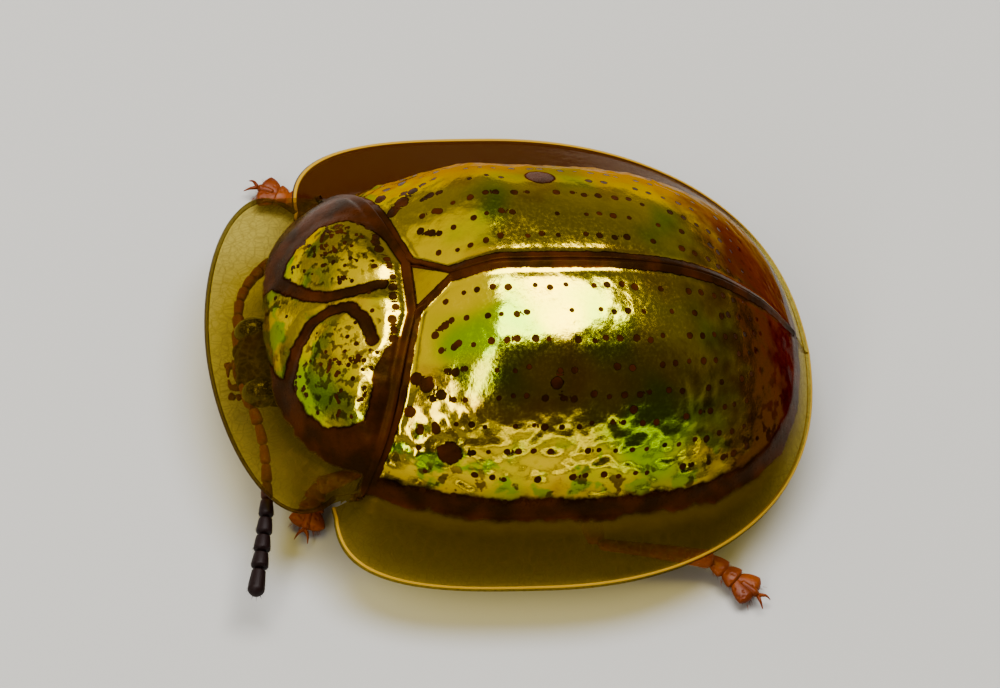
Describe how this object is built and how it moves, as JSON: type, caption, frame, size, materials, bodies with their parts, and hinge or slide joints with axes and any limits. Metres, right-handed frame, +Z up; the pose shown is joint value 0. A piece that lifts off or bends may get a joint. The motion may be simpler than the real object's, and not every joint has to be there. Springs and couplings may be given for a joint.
{
  "type": "golden tortoise beetle",
  "caption": "Life-size still model of a golden tortoise beetle, standing: domed wing-cases and a half-moon shield with broad clear margins, feelers, eyes and legs.",
  "frame": {"origin": "middle of the beetle's plan on the floor it stands on", "axes": "-Y towards the head, +X towards the beetle's own left side, +Z up through its back"},
  "size_m": [0.0056, 0.0066, 0.0026],
  "materials": {
    "gold_shell": "mirror-bright gold cuticle under a clear gloss, with clear amber margins",
    "dark_cuticle": "dark red-brown insect cuticle, satin",
    "leg_cuticle": "red-brown insect cuticle, satin, with short hairs",
    "feeler_cuticle": "brown-black insect cuticle, finely downy",
    "eye_cuticle": "dark faceted compound eye"
  },
  "bodies": {
    "root": {"pronotum": "gold_shell", "scutellum": "gold_shell", "elytron_left": "gold_shell", "elytron_right": "gold_shell", "head": "dark_cuticle", "mouthparts": "dark_cuticle", "prothorax": "dark_cuticle", "thorax": "dark_cuticle", "abdomen": "dark_cuticle", "eye_left": "eye_cuticle", "eye_right": "eye_cuticle", "antenna_left": "feeler_cuticle", "antenna_right": "feeler_cuticle", "femur_front_left": "leg_cuticle", "tibia_front_left": "leg_cuticle", "tarsus_front_left": "leg_cuticle", "femur_middle_left": "leg_cuticle", "tibia_middle_left": "leg_cuticle", "tarsus_middle_left": "leg_cuticle", "femur_hind_left": "leg_cuticle", "tibia_hind_left": "leg_cuticle", "tarsus_hind_left": "leg_cuticle", "femur_front_right": "leg_cuticle", "tibia_front_right": "leg_cuticle", "tarsus_front_right": "leg_cuticle", "femur_middle_right": "leg_cuticle", "tibia_middle_right": "leg_cuticle", "tarsus_middle_right": "leg_cuticle", "femur_hind_right": "leg_cuticle", "tibia_hind_right": "leg_cuticle", "tarsus_hind_right": "leg_cuticle"}
  },
  "joints": []
}
